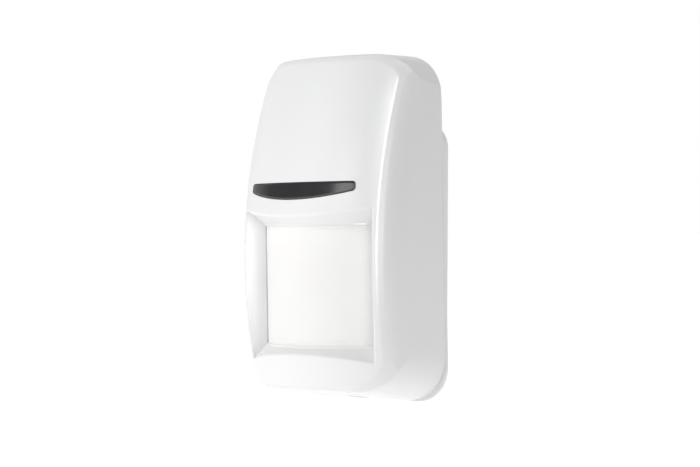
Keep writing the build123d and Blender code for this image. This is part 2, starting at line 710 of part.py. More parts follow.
def alarm_relay():
    return box((-24.0, -5.0), (BOARD_Y - 6.4, BOARD_Y), (20.0, 30.0))


def microcontroller():
    return box((1.0, 8.0), (BOARD_Y - 1.2, BOARD_Y), (21.5, 28.5))


def amplifier_chip():
    return box((-19.0, -10.4), (BOARD_Y - 1.5, BOARD_Y), (-29.0, -25.0))


def capacitors():
    cans = [rod(2.5, (x, BOARD_Y, 24.0), (x, BOARD_Y - 7.0, 24.0)) for x in (15.0, 21.0)]
    return Compound(children=cans)


def small_parts():
    """Rows of small resistors and capacitors, clear of the sensor and the screws."""
    chips = []
    for column in range(-3, 4):
        for row in range(-6, 1):
            x = column * 5.6
            z = row * 5.2 - 1.0
            near_sensor = math.hypot(x, z - PYRO_Z) < 10.5
            near_chip = x < -9 and z < -21
            near_screw = abs(x) > 16 and (z > -3 or z < -27)
            if near_sensor or near_chip or near_screw:
                continue
            chips.append(box((x - 1.0, x + 1.0), (BOARD_Y - 0.6, BOARD_Y), (z - 0.6, z + 0.6)))
    return Compound(children=chips)


def jumper_rows():
    return [JUMPER_Z + JUMPER_PITCH * step for step in range(JUMPERS)]


def jumper_base():
    half = JUMPER_PITCH / 2
    low = jumper_rows()[0] - half
    high = jumper_rows()[-1] + half
    base = box((JUMPER_X - 2 * half, JUMPER_X + 2 * half), (BOARD_Y - 2.5, BOARD_Y), (low, high))
    for z in jumper_rows():
        for x in (JUMPER_X - half, JUMPER_X + half):
            base = base - box((x - 0.33, x + 0.33), (-20, 0), (z - 0.33, z + 0.33))
    return base


def jumper_pins():
    pins = []
    for z in jumper_rows():
        for x in (JUMPER_X - JUMPER_PITCH / 2, JUMPER_X + JUMPER_PITCH / 2):
            pins.append(box((x - 0.32, x + 0.32), (BOARD_Y - 8.4, BOARD_Y), (z - 0.32, z + 0.32)))
    return Compound(children=pins)


def jumper_cap(z):
    half = JUMPER_PITCH / 2
    upright = (z - half + 0.1, z + half - 0.1)
    cap = box((JUMPER_X - 2.45, JUMPER_X + 2.45), (BOARD_Y - 9.2, BOARD_Y - 2.7), upright)
    for x in (JUMPER_X - half, JUMPER_X + half):
        cap = cap - box((x - 0.4, x + 0.4), (BOARD_Y - 8.6, BOARD_Y), (z - 0.4, z + 0.4))
    return cap


def trimmer_body():
    upright = (TRIMMER_Z - 3.2, TRIMMER_Z + 3.2)
    body = box((TRIMMER_X - 3.2, TRIMMER_X + 3.2), (BOARD_Y - 3.6, BOARD_Y), upright)
    return body - rod(2.25, (TRIMMER_X, BOARD_Y - 2.4, TRIMMER_Z), (TRIMMER_X, BOARD_Y - 5, TRIMMER_Z))


def trimmer_rotor():
    rotor = rod(2.2, (TRIMMER_X, BOARD_Y - 2.45, TRIMMER_Z), (TRIMMER_X, BOARD_Y - 4.4, TRIMMER_Z))
    slot = (TRIMMER_Z - 0.3, TRIMMER_Z + 0.3)
    arrow = box((TRIMMER_X - 1.6, TRIMMER_X + 1.6), (BOARD_Y - 5, BOARD_Y - 3.6), slot)
    return rotor - arrow


PARTS = {
    "front_cover": build_cover,
    "indicator_window": indicator_window,
    "fresnel_lens": fresnel_lens,
    "lens_retainer": lens_retainer,
    "light_guide": light_guide,
    "cover_screw": cover_screw,
    "rear_base": rear_base,
    "cable_bung": cable_bung,
    "circuit_board": circuit_board,
    "board_screws": board_screws,
    "pyro_can": pyro_can,
    "pyro_window": pyro_window,
    "pyro_gasket": pyro_gasket,
    "status_leds": status_leds,
    "terminal_block": terminal_block,
    "terminal_clamps": terminal_clamps,
    "tamper_body": tamper_body,
    "tamper_plunger": tamper_plunger,
    "tamper_spring": tamper_spring,
    "alarm_relay": alarm_relay,
    "microcontroller": microcontroller,
    "amplifier_chip": amplifier_chip,
    "capacitors": capacitors,
    "small_parts": small_parts,
    "jumper_base": jumper_base,
    "jumper_pins": jumper_pins,
    "trimmer_body": trimmer_body,
    "trimmer_rotor": trimmer_rotor,
}


def main():
    os.makedirs("parts", exist_ok=True)
    for name, build in PARTS.items():
        export_step(build(), f"parts/{name}.step")
    for number, x in enumerate(terminal_xs(), start=1):
        export_step(terminal_screw(x), f"parts/terminal_screw_{number}.step")
    for number, z in enumerate(jumper_rows(), start=1):
        export_step(jumper_cap(z), f"parts/jumper_cap_{number}.step")


main()
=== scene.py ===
"""A wall-mounted infrared motion sensor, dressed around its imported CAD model.

Lengths in this file are in millimetres and become metres where a mesh is made. The sensor
faces -Y, +X is to the right seen from the room and +Z is up.
"""
import json
import math

import bmesh
import bpy
from mathutils import Matrix, Vector
from mathutils.bvhtree import BVHTree


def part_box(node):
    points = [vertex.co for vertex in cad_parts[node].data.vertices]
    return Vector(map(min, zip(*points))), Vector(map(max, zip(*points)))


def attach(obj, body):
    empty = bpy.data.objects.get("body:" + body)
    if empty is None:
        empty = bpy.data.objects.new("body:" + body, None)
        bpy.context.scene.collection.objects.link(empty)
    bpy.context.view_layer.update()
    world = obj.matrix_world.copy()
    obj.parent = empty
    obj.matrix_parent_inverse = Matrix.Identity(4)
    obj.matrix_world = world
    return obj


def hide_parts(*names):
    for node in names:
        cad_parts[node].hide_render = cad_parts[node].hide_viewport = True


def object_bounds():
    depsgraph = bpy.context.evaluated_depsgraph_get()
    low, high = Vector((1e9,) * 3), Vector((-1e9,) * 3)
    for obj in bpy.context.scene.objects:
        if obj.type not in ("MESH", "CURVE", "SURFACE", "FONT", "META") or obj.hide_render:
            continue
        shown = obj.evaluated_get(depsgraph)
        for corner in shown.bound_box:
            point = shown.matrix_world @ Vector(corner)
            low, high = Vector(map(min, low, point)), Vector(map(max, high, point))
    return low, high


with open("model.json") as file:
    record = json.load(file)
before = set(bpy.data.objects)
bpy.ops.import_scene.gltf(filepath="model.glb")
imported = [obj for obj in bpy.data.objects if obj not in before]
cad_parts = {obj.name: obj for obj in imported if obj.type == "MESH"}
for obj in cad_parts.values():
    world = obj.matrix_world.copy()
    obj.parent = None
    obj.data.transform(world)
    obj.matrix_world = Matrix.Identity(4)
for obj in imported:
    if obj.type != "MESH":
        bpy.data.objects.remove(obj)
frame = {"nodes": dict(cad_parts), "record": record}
cad_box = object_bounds()

MM = 0.001
NODES = frame["nodes"]

# The camera: degrees for its angles, millimetres for its distance and aim, and its lens.
CAMERA_AZIMUTH = 38.0
CAMERA_ELEVATION = 0.51
CAMERA_ROLL = -0.95
CAMERA_DISTANCE = 577.3
CAMERA_TARGET = (9.01, -25.0, -1.14)
CAMERA_LENS = 88.87
SENSOR_WIDTH = 36.0

# How bright the surroundings are in front of the sensor, behind it and on the floor.
ROOM_LIGHT = 0.22
BACKDROP_LIGHT = 0.85
BACKDROP_START = 0.3
FLOOR_GLOW = 0.92
FLOOR_GREY = (0.16, 0.16, 0.16)
FLOOR_DARK_GREY = (0.155, 0.155, 0.155)
FLOOR_GAP = 0.0002
FLOOR_RADIUS = 4.0


# ---------------------------------------------------------------- node helpers


def box_mm(node):
    """A CAD node's lowest and highest corners, in millimetres."""
    low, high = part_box(node)
    return low / MM, high / MM


def centre_mm(node):
    low, high = box_mm(node)
    return (low + high) / 2


def principled(name, colour, roughness, metallic=0.0, ior=1.5, coat=0.0, transmission=0.0):
    """A new material with its Principled shader, its node tree and its object coordinates."""
    material = bpy.data.materials.new(name)
    material.use_nodes = True
    tree = material.node_tree
    shader = tree.nodes["Principled BSDF"]
    shader.inputs["Base Color"].default_value = (*colour, 1.0)
    shader.inputs["Roughness"].default_value = roughness
    shader.inputs["Metallic"].default_value = metallic
    shader.inputs["IOR"].default_value = ior
    shader.inputs["Coat Weight"].default_value = coat
    shader.inputs["Transmission Weight"].default_value = transmission
    place = tree.nodes.new("ShaderNodeTexCoord").outputs["Object"]
    return material, tree, shader, place


def noise(tree, place, size_mm, detail=3.0, stretch=None):
    """A noise value in blotches about size_mm across, optionally stretched by (x, y, z) scales."""
    if stretch:
        mapping = tree.nodes.new("ShaderNodeMapping")
        mapping.inputs["Scale"].default_value = stretch
        tree.links.new(place, mapping.inputs["Vector"])
        place = mapping.outputs["Vector"]
    node = tree.nodes.new("ShaderNodeTexNoise")
    node.inputs["Scale"].default_value = 1.0 / (size_mm * MM)
    node.inputs["Detail"].default_value = detail
    tree.links.new(place, node.inputs["Vector"])
    return node.outputs["Fac"]


def remap(tree, value, low, high, from_low=0.3, from_high=0.7):
    node = tree.nodes.new("ShaderNodeMapRange")
    node.inputs["From Min"].default_value = from_low
    node.inputs["From Max"].default_value = from_high
    node.inputs["To Min"].default_value = low
    node.inputs["To Max"].default_value = high
    tree.links.new(value, node.inputs["Value"])
    return node.outputs["Result"]


def tint(tree, value, dark, light):
    """A colour between two, chosen by value."""
    ramp = tree.nodes.new("ShaderNodeValToRGB")
    ramp.color_ramp.elements[0].position = 0.3
    ramp.color_ramp.elements[0].color = (*dark, 1.0)
    ramp.color_ramp.elements[1].position = 0.7
    ramp.color_ramp.elements[1].color = (*light, 1.0)
    tree.links.new(value, ramp.inputs["Fac"])
    return ramp.outputs["Color"]


def bump(tree, shader, height, distance_mm, strength=1.0, after=None):
    node = tree.nodes.new("ShaderNodeBump")
    node.inputs["Strength"].default_value = strength
    node.inputs["Distance"].default_value = distance_mm * MM
    tree.links.new(height, node.inputs["Height"])
    if after:
        tree.links.new(after, node.inputs["Normal"])
    tree.links.new(node.outputs["Normal"], shader.inputs["Normal"])
    return node.outputs["Normal"]


def shaded(colour, factor):
    return tuple(channel * factor for channel in colour)


def moulded(name, colour, roughness, mottle=0.985, grain=0.35, relief=0.004, spread=0.03, **settings):
    """Moulded plastic or rubber: a slight drift in colour and gloss, and a fine tooling grain."""
    material, tree, shader, place = principled(name, colour, roughness, **settings)
    drift = noise(tree, place, 14.0, 2.0)
    tree.links.new(tint(tree, drift, shaded(colour, mottle), colour), shader.inputs["Base Color"])
    fine = noise(tree, place, grain, 4.0)
    gloss = remap(tree, fine, max(roughness - spread, 0.02), roughness + spread)
    tree.links.new(gloss, shader.inputs["Roughness"])
    bump(tree, shader, fine, relief)
    return material


def metal(name, colour, roughness, brushed=None, relief=0.003):
    """Plated or bare metal with fine scratches, along an axis if brushed is given."""
    material, tree, shader, place = principled(name, colour, roughness, metallic=1.0)
    scratches = noise(tree, place, 0.25, 5.0, brushed)
    tree.links.new(tint(tree, scratches, shaded(colour, 0.86), colour), shader.inputs["Base Color"])
    tree.links.new(remap(tree, scratches, roughness * 0.75, roughness * 1.3), shader.inputs["Roughness"])
    bump(tree, shader, scratches, relief)
    return material


def laminate(name):
    """Green solder mask over glass weave."""
    green = (0.018, 0.13, 0.055)
    material, tree, shader, place = principled(name, green, 0.32, coat=0.3)
    patches = noise(tree, place, 5.0, 3.0)
    tree.links.new(tint(tree, patches, shaded(green, 0.82), shaded(green, 1.1)), shader.inputs["Base Color"])
    weave = tree.nodes.new("ShaderNodeTexWave")
    weave.inputs["Scale"].default_value = 420.0
    weave.inputs["Distortion"].default_value = 1.5
    tree.links.new(place, weave.inputs["Vector"])
    bump(tree, shader, weave.outputs["Fac"], 0.006, 0.5)
    return material


def lens_film(name):
    """Milky polyethylene: warm white, satin, with a faint vertical draw and soft light inside it."""
    colour = (0.845, 0.84, 0.825)
    material, tree, shader, place = principled(name, colour, 0.55)
    cloud = noise(tree, place, 9.0, 2.0)
    tree.links.new(tint(tree, cloud, (0.835, 0.827, 0.81), colour), shader.inputs["Base Color"])
    draw = noise(tree, place, 0.5, 3.0, (1.0, 1.0, 0.06))
    tree.links.new(remap(tree, draw, 0.5, 0.6), shader.inputs["Roughness"])
    bump(tree, shader, draw, 0.004, 0.6)
    shader.inputs["Subsurface Weight"].default_value = 0.12
    shader.inputs["Subsurface Radius"].default_value = (0.8, 0.75, 0.65)
    shader.inputs["Subsurface Scale"].default_value = MM
    return material


def fresnel_face(name):
    """The lens's inner face: the same milky film with fine concentric Fresnel rings."""
    colour = (0.845, 0.84, 0.825)
    material, tree, shader, place = principled(name, colour, 0.3)
    rings = tree.nodes.new("ShaderNodeTexWave")
    rings.wave_type = "RINGS"
    rings.rings_direction = "Y"
    rings.wave_profile = "SAW"
    rings.inputs["Scale"].default_value = 380.0
    rings.inputs["Distortion"].default_value = 0.0
    tree.links.new(place, rings.inputs["Vector"])
    bump(tree, shader, rings.outputs["Fac"], 0.15)
    tree.links.new(remap(tree, rings.outputs["Fac"], 0.24, 0.4, 0.0, 1.0), shader.inputs["Roughness"])
    return material


def smoked(name):
    """Dark satin acrylic with a very slight orange-peel."""
    dark, light = (0.008, 0.008, 0.01), (0.015, 0.015, 0.018)
    material, tree, shader, place = principled(name, light, 0.2, ior=1.9)
    drift = noise(tree, place, 6.0, 2.0)
    tree.links.new(tint(tree, drift, dark, light), shader.inputs["Base Color"])
    peel = noise(tree, place, 0.7, 3.0)
    tree.links.new(remap(tree, peel, 0.17, 0.25), shader.inputs["Roughness"])
    bump(tree, shader, peel, 0.004)
    return material


def clear(name, colour, roughness, transmission, ior=1.49):
    material, tree, shader, place = principled(name, colour, roughness, ior=ior, transmission=transmission)
    haze = noise(tree, place, 2.0, 3.0)
    tree.links.new(tint(tree, haze, shaded(colour, 0.93), colour), shader.inputs["Base Color"])
    tree.links.new(remap(tree, haze, roughness * 0.6, roughness * 1.5), shader.inputs["Roughness"])
    bump(tree, shader, haze, 0.002)
    return material


WHITE = (0.805, 0.807, 0.81)
FINISH = {
    "white_housing": moulded("gloss_white_shell", WHITE, 0.24, mottle=0.992, relief=0.0012),
    "smoked_plastic": smoked("smoked_acrylic"),
    "lens_film": lens_film("milky_lens_film"),
    "fresnel_face": fresnel_face("fresnel_inner_face"),
    "white_matte": moulded("matt_white_moulding", (0.8, 0.8, 0.78), 0.5, grain=0.2, relief=0.006),
    "clear_guide": clear("clear_light_guide", (0.93, 0.96, 0.97), 0.08, 0.9),
    "steel": metal("plated_steel", (0.62, 0.62, 0.63), 0.28, (1.0, 1.0, 0.15)),
    "grey_rubber": moulded("grey_rubber", (0.1, 0.1, 0.105), 0.72, mottle=0.85, grain=0.18, relief=0.02),
    "board_green": laminate("green_laminate"),
    "nickel": metal("nickel_can", (0.66, 0.64, 0.6), 0.22),
    "dark_window": clear("dark_filter", (0.03, 0.022, 0.03), 0.06, 0.35, ior=2.2),
    "black_foam": moulded("black_foam", (0.022, 0.022, 0.023), 0.95, mottle=0.6, grain=0.3, relief=0.12),
    "lamp_red": clear("red_lamp_epoxy", (0.78, 0.05, 0.03), 0.12, 0.55, ior=1.54),
    "terminal_green": moulded("green_terminal", (0.03, 0.23, 0.09), 0.36, mottle=0.9, relief=0.006),
    "brass": metal("brass", (0.72, 0.53, 0.26), 0.3),
    "black_plastic": moulded("black_epoxy", (0.02, 0.02, 0.021), 0.55, mottle=0.8, grain=0.1, relief=0.012),
    "relay_white": moulded("relay_case", (0.66, 0.66, 0.62), 0.46, mottle=0.96, grain=0.16, relief=0.01),
    "capacitor_sleeve": moulded("capacitor_sleeve", (0.02, 0.026, 0.075), 0.3, mottle=0.85, relief=0.003),
    "ceramic": moulded("ceramic", (0.36, 0.25, 0.15), 0.5, mottle=0.8, grain=0.12, relief=0.008),
    "trimmer_blue": moulded("blue_trimmer", (0.02, 0.1, 0.36), 0.42, mottle=0.88, relief=0.006),
    "jumper_blue": moulded("blue_jumper", (0.03, 0.09, 0.33), 0.42, mottle=0.88, relief=0.006),
    "tin": metal("solder", (0.7, 0.7, 0.69), 0.34, relief=0.01),
    "copper_mask": moulded("masked_copper", (0.035, 0.2, 0.075), 0.3, mottle=0.88, relief=0.003),
    "ink": moulded("white_ink", (0.78, 0.79, 0.76), 0.6, mottle=0.9, grain=0.1, relief=0.004),
    "aluminium": metal("aluminium", (0.72, 0.72, 0.73), 0.33, (0.2, 1.0, 1.0)),
}


# ---------------------------------------------------------------- mesh helpers


ON_AXIS = 1e-6
MITRE_LIMIT = 0.3


class Shape:
    """Gathers simple closed forms, given in millimetres, into one piece."""

    def __init__(self):
        self.mesh = bmesh.new()

    def block(self, low, high, bevel=0.0, segments=2):
        """A block between two corners, its edges rounded by bevel."""
        low, high = Vector(low), Vector(high)
        made = bmesh.ops.create_cube(self.mesh, size=1.0)["verts"]
        for vert in made:
            for axis in range(3):
                vert.co[axis] = low[axis] if vert.co[axis] < 0 else high[axis]
        if bevel:
            edges = list({edge for vert in made for edge in vert.link_edges})
            settings = {"offset": bevel, "segments": segments, "profile": 0.5, "affect": "EDGES"}
            bmesh.ops.bevel(self.mesh, geom=edges, **settings)

    def turned(self, profile, centre, steps=32):
        """A solid of revolution about Y through centre (x, z); profile holds (radius, y) points."""
        rings = []
        for radius, y in profile:
            if radius < ON_AXIS:
                rings.append([self.mesh.verts.new((centre[0], y, centre[1]))])
                continue
            ring = []
            for step in range(steps):
                angle = 2 * math.pi * step / steps
                x = centre[0] + radius * math.cos(angle)
                z = centre[1] + radius * math.sin(angle)
                ring.append(self.mesh.verts.new((x, y, z)))
            rings.append(ring)
        for first, second in zip(rings, rings[1:]):
            for step in range(steps):
                follow = (step + 1) % steps
                corners = [first[step % len(first)], first[follow % len(first)]]
                corners += [second[follow % len(second)], second[step % len(second)]]
                unique = list(dict.fromkeys(corners))
                if len(unique) > 2:
                    self.mesh.faces.new(unique)
        for ring in (rings[0], rings[-1]):
            if len(ring) > 2:
                self.mesh.faces.new(ring)

    def ribbon(self, points, width, back, front):
        """A flat strip along (x, z) points, mitred at its corners, between two depths."""
        left, right = [], []
        for index, point in enumerate(points):
            here = Vector(point)
            before = (here - Vector(points[index - 1])).normalized() if index else None
            after = (Vector(points[index + 1]) - here).normalized() if index + 1 < len(points) else None
            before, after = before or after, after or before
            middle = (before + after).normalized()
            reach = width / 2 / max(middle.dot(before), MITRE_LIMIT)
            side = Vector((-middle.y, middle.x)) * reach
            left.append(here + side)
            right.append(here - side)
        loop = left + right[::-1]
        self.prism(loop, back, front)

    def prism(self, loop, back, front):
        """An upright outline of (x, z) points, from depth back to depth front."""
        rear = [self.mesh.verts.new((x, back, z)) for x, z in loop]
        fore = [self.mesh.verts.new((x, front, z)) for x, z in loop]
        self.mesh.faces.new(rear)
        self.mesh.faces.new(fore[::-1])
        count = len(loop)
        for index in range(count):
            follow = (index + 1) % count
            self.mesh.faces.new((rear[index], fore[index], fore[follow], rear[follow]))

    def tube(self, points, radius, steps=10):
        """A round wire through 3-D points."""
        places = [Vector(point) for point in points]
        rings = []
        for index, place in enumerate(places):
            ahead = places[min(index + 1, len(places) - 1)] - places[max(index - 1, 0)]
            turn = ahead.to_track_quat("Z", "Y")
            ring = []
            for step in range(steps):
                angle = 2 * math.pi * step / steps
                offset = Vector((radius * math.cos(angle), radius * math.sin(angle), 0))
                ring.append(self.mesh.verts.new(place + turn @ offset))
            rings.append(ring)
        for first, second in zip(rings, rings[1:]):
            for step in range(steps):
                follow = (step + 1) % steps
                self.mesh.faces.new((first[step], first[follow], second[follow], second[step]))
        self.mesh.faces.new(rings[0][::-1])
        self.mesh.faces.new(rings[-1])

    def piece(self, name, finish, body, slot=None, replaces=(), smooth_deg=35):
        """Makes the gathered forms into one object that rides on a body."""
        bmesh.ops.recalc_face_normals(self.mesh, faces=self.mesh.faces)
        bmesh.ops.scale(self.mesh, vec=(MM, MM, MM), verts=self.mesh.verts)
        data = bpy.data.meshes.new(name)
        self.mesh.to_mesh(data)
        self.mesh.free()
        data.materials.append(FINISH[finish])
        data.shade_smooth()
        data.set_sharp_from_angle(angle=math.radians(smooth_deg))
        made = bpy.data.objects.new(name, data)
        bpy.context.scene.collection.objects.link(made)
        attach(made, body)
        if replaces:
            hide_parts(*replaces)


# ---------------------------------------------------------------- CAD nodes


SLOTS = {row["node"]: row["material_slot"] for row in frame["record"]["subparts"]}


def dress_nodes():
    """Gives each CAD node the procedural finish of its own material slot."""
    for name, node in NODES.items():
        node.data.materials.clear()
        node.data.materials.append(FINISH[SLOTS[name]])


dress_nodes()


# ---------------------------------------------------------------- the circuit board


BOARD_LOW, BOARD_HIGH = box_mm("circuit_board")
FACE = BOARD_LOW.y

CHIP_STANDOFF = 0.1
CHIP_BEVEL = 0.16
DIMPLE_INSET = 1.0
# The first-pin dimple: (radius, depth into the chip's face).
DIMPLE_PROFILE = ((0.0, -0.006), (0.36, -0.006), (0.42, 0.05))
# A gull-wing lead seen from the side: (distance out from the chip's body, height above the board).
LEAD_PROFILE = (
    (0.0, 0.62),
    (0.38, 0.62),
    (0.66, 0.12),
    (1.15, 0.12),
    (1.15, 0.0),
    (0.54, 0.0),
    (0.3, 0.5),
    (0.0, 0.5),
)


def add_leads(shape, node, per_side, pitch, width, sides):
    """Gull-wing leads along the named sides of a chip body."""
    low, high = box_mm(node)
    middle = (low + high) / 2
    count = len(LEAD_PROFILE)
    for side in sides:
        out = Vector(side)
        along = Vector((abs(out.z), 0, abs(out.x)))
        reach = (high.x - low.x) / 2 if out.x else (high.z - low.z) / 2
        for index in range(per_side):
            start = Vector((middle.x, FACE, middle.z)) + out * reach
            start += along * pitch * (index - (per_side - 1) / 2)
            rows = []
            for edge in (-width / 2, width / 2):
                row = []
                for far, height in LEAD_PROFILE:
                    place = start + along * edge + out * far + Vector((0, -height, 0))
                    row.append(shape.mesh.verts.new(place))
                rows.append(row)
            shape.mesh.faces.new(rows[0])
            shape.mesh.faces.new(rows[1][::-1])
            for corner in range(count):
                follow = (corner + 1) % count
                face = (rows[0][corner], rows[1][corner], rows[1][follow], rows[0][follow])
                shape.mesh.faces.new(face)


def add_chip(node, per_side, pitch, width, sides):
    """A moulded chip: bevelled body, first-pin dimple and tinned leads."""
    low, high = box_mm(node)
    body = Shape()
    body.block((low.x, low.y, low.z), (high.x, FACE - CHIP_STANDOFF, high.z), CHIP_BEVEL, 1)
    body.piece(f"{node}_body", "black_plastic", "base", "black_plastic", (node,))
    dimple = Shape()
    profile = [(radius, low.y + depth) for radius, depth in DIMPLE_PROFILE]
    dimple.turned(profile, (low.x + DIMPLE_INSET, high.z - DIMPLE_INSET), 24)
    dimple.piece(f"{node}_dimple", "ink", "base")
    leads = Shape()
    add_leads(leads, node, per_side, pitch, width, sides)
    leads.piece(f"{node}_leads", "tin", "base")


RELAY_SKIRT_HEIGHT = 1.1
RELAY_SKIRT_BEVEL = 0.25
RELAY_STEP = 0.25
RELAY_BODY_FOOT = 1.0
RELAY_BODY_BEVEL = 0.45
RELAY_MARK_START = 1.6
RELAY_MARK_END = 2.0
RELAY_MARK_INSET = 1.4
RELAY_MARK_PROUD = 0.12
RELAY_MARK_SUNK = 0.2
RELAY_MARK_BEVEL = 0.1
VENT_INSET = 2.0
# The relay's vent nub: (radius, depth from the relay's face).
VENT_PROFILE = ((0.0, -0.35), (0.45, -0.35), (0.6, -0.2), (0.6, 0.2))


def add_relay():
    """A sealed relay: a case on its skirt, a vent nub and a raised edge mark."""
    low, high = box_mm("alarm_relay")
    case = Shape()
    case.block((low.x, FACE - RELAY_SKIRT_HEIGHT, low.z), (high.x, FACE, high.z), RELAY_SKIRT_BEVEL)
    body_low = (low.x + RELAY_STEP, low.y, low.z + RELAY_STEP)
    body_high = (high.x - RELAY_STEP, FACE - RELAY_BODY_FOOT, high.z - RELAY_STEP)
    case.block(body_low, body_high, RELAY_BODY_BEVEL, 3)
    mark_low = (low.x + RELAY_MARK_START, low.y - RELAY_MARK_PROUD, low.z + RELAY_MARK_INSET)
    mark_high = (low.x + RELAY_MARK_END, low.y + RELAY_MARK_SUNK, high.z - RELAY_MARK_INSET)
    case.block(mark_low, mark_high, RELAY_MARK_BEVEL, 1)
    vent = [(radius, low.y + depth) for radius, depth in VENT_PROFILE]
    case.turned(vent, (high.x - VENT_INSET, high.z - VENT_INSET), 24)
    case.piece("alarm_relay_case", "relay_white", "base", "relay_white", ("alarm_relay",))


# An electrolytic can seen from the side: (share of its radius, share of its height).
CAN_PROFILE = (
    (0, 0),
    (0.94, 0),
    (1, 0.03),
    (1, 0.12),
    (0.93, 0.155),
    (1, 0.19),
    (1, 0.95),
    (0.94, 0.985),
    (0.82, 1),
    (0, 1),
)
CAN_TOP_SHARE = 0.8
CAN_TOP_PROUD = 0.02
CAN_TOP_SUNK = 0.3
SCORE_ANGLES = (30, 150, 270)
SCORE_SHARE = 0.6
SCORE_WIDTH = 0.12
SCORE_SUNK = 0.02
SCORE_PROUD = 0.03
STRIPE_PROUD = 0.02
STRIPE_THICKNESS = 0.1
STRIPE_BACK_SHARE = 0.24
STRIPE_FRONT_SHARE = 0.93
STRIPE_START = -30
STRIPE_END = 30
STRIPE_STEPS = 10


def add_capacitors():
    """Two electrolytic cans with crimped sleeves, scored tops and a polarity stripe."""
    low, high = box_mm("capacitors")
    radius = (high.z - low.z) / 2
    height = FACE - low.y
    profile = [(share * radius, FACE - rise * height) for share, rise in CAN_PROFILE]
    top_radius = CAN_TOP_SHARE * radius
    top_face = low.y - CAN_TOP_PROUD
    stripe_back = FACE - STRIPE_BACK_SHARE * height
    stripe_front = FACE - STRIPE_FRONT_SHARE * height
    sleeves, tops, marks = Shape(), Shape(), Shape()
    for x in (low.x + radius, high.x - radius):
        spot = (x, (low.z + high.z) / 2)
        sleeves.turned(profile, spot, 48)
        tops.turned(((0, top_face), (top_radius, top_face), (top_radius, low.y + CAN_TOP_SUNK)), spot, 48)
        for degrees in SCORE_ANGLES:
            angle = math.radians(degrees)
            end = Vector((math.cos(angle), math.sin(angle))) * SCORE_SHARE * radius
            score = [spot, tuple(Vector(spot) + end)]
            marks.ribbon(score, SCORE_WIDTH, low.y + SCORE_SUNK, low.y - SCORE_PROUD)
        add_stripe(marks, spot, radius + STRIPE_PROUD, stripe_back, stripe_front)
    sleeves.piece("capacitor_sleeves", "capacitor_sleeve", "base", "capacitor_sleeve", ("capacitors",))
    tops.piece("capacitor_tops", "aluminium", "base")
    marks.piece("capacitor_marks", "ink", "base")


def add_stripe(shape, spot, radius, back, front):
    """A thin curved band on the side of a can."""
    rows = []
    for y in (back, front):
        for reach in (radius, radius - STRIPE_THICKNESS):
            row = []
            for step in range(STRIPE_STEPS + 1):
                degrees = STRIPE_START + (STRIPE_END - STRIPE_START) * step / STRIPE_STEPS
                angle = math.radians(degrees)
                place = (spot[0] + reach * math.cos(angle), y, spot[1] + reach * math.sin(angle))
                row.append(shape.mesh.verts.new(place))
            rows.append(row)
    outer_back, inner_back, outer_front, inner_front = rows
    ring = (outer_back, outer_front, inner_front, inner_back)
    for one, other in zip(ring, ring[1:] + ring[:1]):
        for step in range(STRIPE_STEPS):
            shape.mesh.faces.new((one[step], one[step + 1], other[step + 1], other[step]))
    for step in (0, STRIPE_STEPS):
        shape.mesh.faces.new([row[step] for row in ring])


# Cells that are each large enough for one of the CAD's small parts.
CELL_WIDTH = 5.6
CELL_HEIGHT = 5.2
CELL_SHIFT = 1.0


def chip_centres():
    """Where the small chip parts stand, read from the CAD node's separate solids."""
    cells = {}
    for vert in NODES["small_parts"].data.vertices:
        column = round(vert.co.x / MM / CELL_WIDTH)
        row = round((vert.co.z / MM + CELL_SHIFT) / CELL_HEIGHT)
        cells.setdefault((column, row), []).append(vert.co / MM)
    centres = []
    for places in cells.values():
        xs = [place.x for place in places]
        zs = [place.z for place in places]
        centres.append(((min(xs) + max(xs)) / 2, (min(zs) + max(zs)) / 2))
    return sorted(centres)


CHIP_PART_HALF_X = 0.72
CHIP_PART_HALF_Z = 0.58
CHIP_PART_LIFT = 0.04
CHIP_PART_BEVEL = 0.05
CHIP_RESISTOR_HEIGHT = 0.45
CHIP_CAPACITOR_HEIGHT = 0.6
END_CAP_SPAN = (0.66, 1.0)
END_CAP_HALF_Z = 0.6
END_CAP_PROUD = 0.02
END_CAP_LIFT = 0.02
END_CAP_BEVEL = 0.08
SOLDER_SPAN = (0.98, 1.32)
SOLDER_HALF_Z = 0.56
SOLDER_HEIGHT = 0.16
SOLDER_SUNK = 0.01
SOLDER_BEVEL = 0.07


def add_small_parts():
    """Chip resistors and capacitors, in turn, with their end caps and solder."""
    capacitors, resistors, caps = Shape(), Shape(), Shape()
    for index, (x, z) in enumerate(chip_centres()):
        is_resistor = index % 2 == 1
        target = resistors if is_resistor else capacitors
        height = CHIP_RESISTOR_HEIGHT if is_resistor else CHIP_CAPACITOR_HEIGHT
        low = (x - CHIP_PART_HALF_X, FACE - height, z - CHIP_PART_HALF_Z)
        high = (x + CHIP_PART_HALF_X, FACE - CHIP_PART_LIFT, z + CHIP_PART_HALF_Z)
        target.block(low, high, CHIP_PART_BEVEL, 1)
        for side in (-1, 1):
            near, far = sorted(x + side * reach for reach in END_CAP_SPAN)
            low = (near, FACE - height - END_CAP_PROUD, z - END_CAP_HALF_Z)
            caps.block(low, (far, FACE - END_CAP_LIFT, z + END_CAP_HALF_Z), END_CAP_BEVEL)
            near, far = sorted(x + side * reach for reach in SOLDER_SPAN)
            low = (near, FACE - SOLDER_HEIGHT, z - SOLDER_HALF_Z)
            caps.block(low, (far, FACE + SOLDER_SUNK, z + SOLDER_HALF_Z), SOLDER_BEVEL)
    capacitors.piece("chip_capacitors", "ceramic", "base", "ceramic", ("small_parts",))
    resistors.piece("chip_resistors", "black_plastic", "base")
    caps.piece("chip_end_caps", "tin", "base")


CRYSTAL_CENTRE = (-11.0, 11.5)
CRYSTAL_RADIUS = 2.0
CRYSTAL_HALF = 3.2
